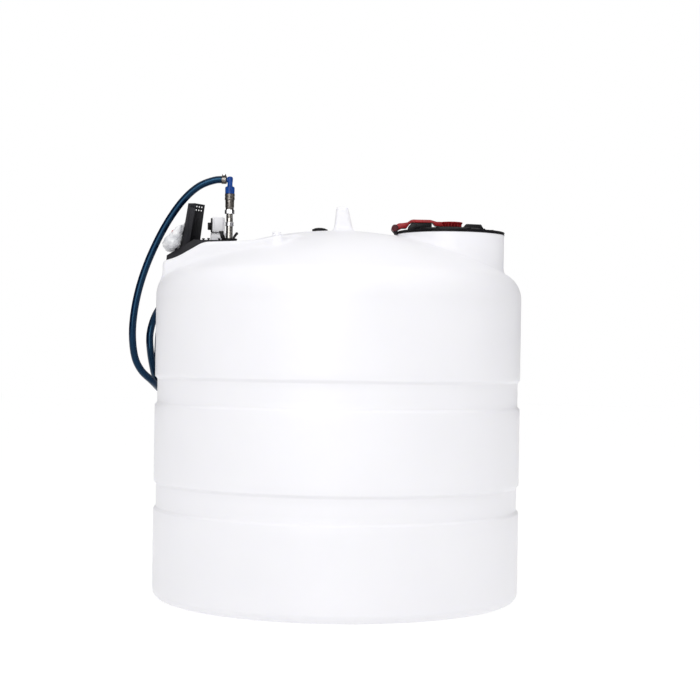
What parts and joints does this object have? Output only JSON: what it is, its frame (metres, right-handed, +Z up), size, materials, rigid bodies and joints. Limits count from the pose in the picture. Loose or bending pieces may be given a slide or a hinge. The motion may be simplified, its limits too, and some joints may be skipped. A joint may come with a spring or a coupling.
{
  "type": "vertical storage tank",
  "caption": "Upright round moulded storage tank with a banded wall, domed roof, hinged manhole lid and a roof-top dispensing kit with riser, hose, nozzle and switch.",
  "frame": {"origin": "centre of the tank's flat bottom, on the floor", "axes": "+Z up along the tank's axis, +X towards the manhole lid, -X towards the equipment platform"},
  "size_m": [1.671, 1.55, 1.794],
  "materials": {
    "polyethylene": "natural satin polyethylene",
    "black_moulding": "satin",
    "black_sheet": "fine textured powder coat",
    "red_moulding": "satin",
    "dark_red_moulding": "satin",
    "stainless": "brushed",
    "blue_moulding": "satin",
    "blue_hose": "satin",
    "white_moulding": "satin",
    "clear_film": "crumpled milky film",
    "nozzle_grey": "satin"
  },
  "bodies": {
    "tank": {"tank_floor": "polyethylene", "tank_wall": "polyethylene", "tank_roof": "polyethylene", "equipment_platform": "polyethylene", "manhole_neck": "polyethylene", "lifting_lug": "polyethylene", "vent_cap": "black_moulding", "plug_cap": "white_moulding", "manhole_collar": "black_moulding", "hinge_bracket": "black_moulding", "equipment_tray": "black_sheet", "nozzle_holder": "black_sheet", "nozzle_cradle": "black_sheet", "nozzle_body": "nozzle_grey", "nozzle_spout": "stainless", "nozzle_spout_cap": "red_moulding", "nozzle_inlet": "stainless", "nozzle_guard": "nozzle_grey", "nozzle_lever": "nozzle_grey", "pipe_flange": "black_moulding", "riser_pipe_lower": "stainless", "riser_ring_nut": "stainless", "riser_pipe_upper": "stainless", "riser_hex_nut": "stainless", "riser_coupling": "stainless", "riser_collar": "stainless", "fitting_nut": "blue_moulding", "hose_elbow": "blue_moulding", "hose_clamp": "stainless", "hose": "blue_hose", "pump_housing": "white_moulding", "switch_box": "white_moulding", "switch_plate": "black_moulding"},
    "lid_arm": {"lid_arm": "red_moulding", "lid_arm_boss": "red_moulding", "hinge_pin_front": "dark_red_moulding", "hinge_pin_back": "dark_red_moulding"},
    "lid": {"lid_disc": "black_moulding", "lid_grip_left": "black_moulding", "lid_grip_right": "black_moulding", "lid_hub": "black_moulding"},
    "switch_knob": {"switch_knob": "black_moulding"}
  },
  "joints": [
    {"name": "lid_arm_hinge", "type": "hinge", "parent": "tank", "child": "lid_arm", "pos_m": [0.234, 0, 1.5716], "axis": [0, -1, 0], "range_deg": [0, 105]},
    {"name": "lid_turn", "type": "hinge", "parent": "lid_arm", "child": "lid", "pos_m": [0.474, 0, 1.57], "axis": [0, 0, 1], "range_deg": [0, 60]},
    {"name": "switch_turn", "type": "hinge", "parent": "tank", "child": "switch_knob", "pos_m": [-0.5561, 0.058, 1.5746], "axis": [1, 0, 0], "range_deg": [0, 90]}
  ]
}
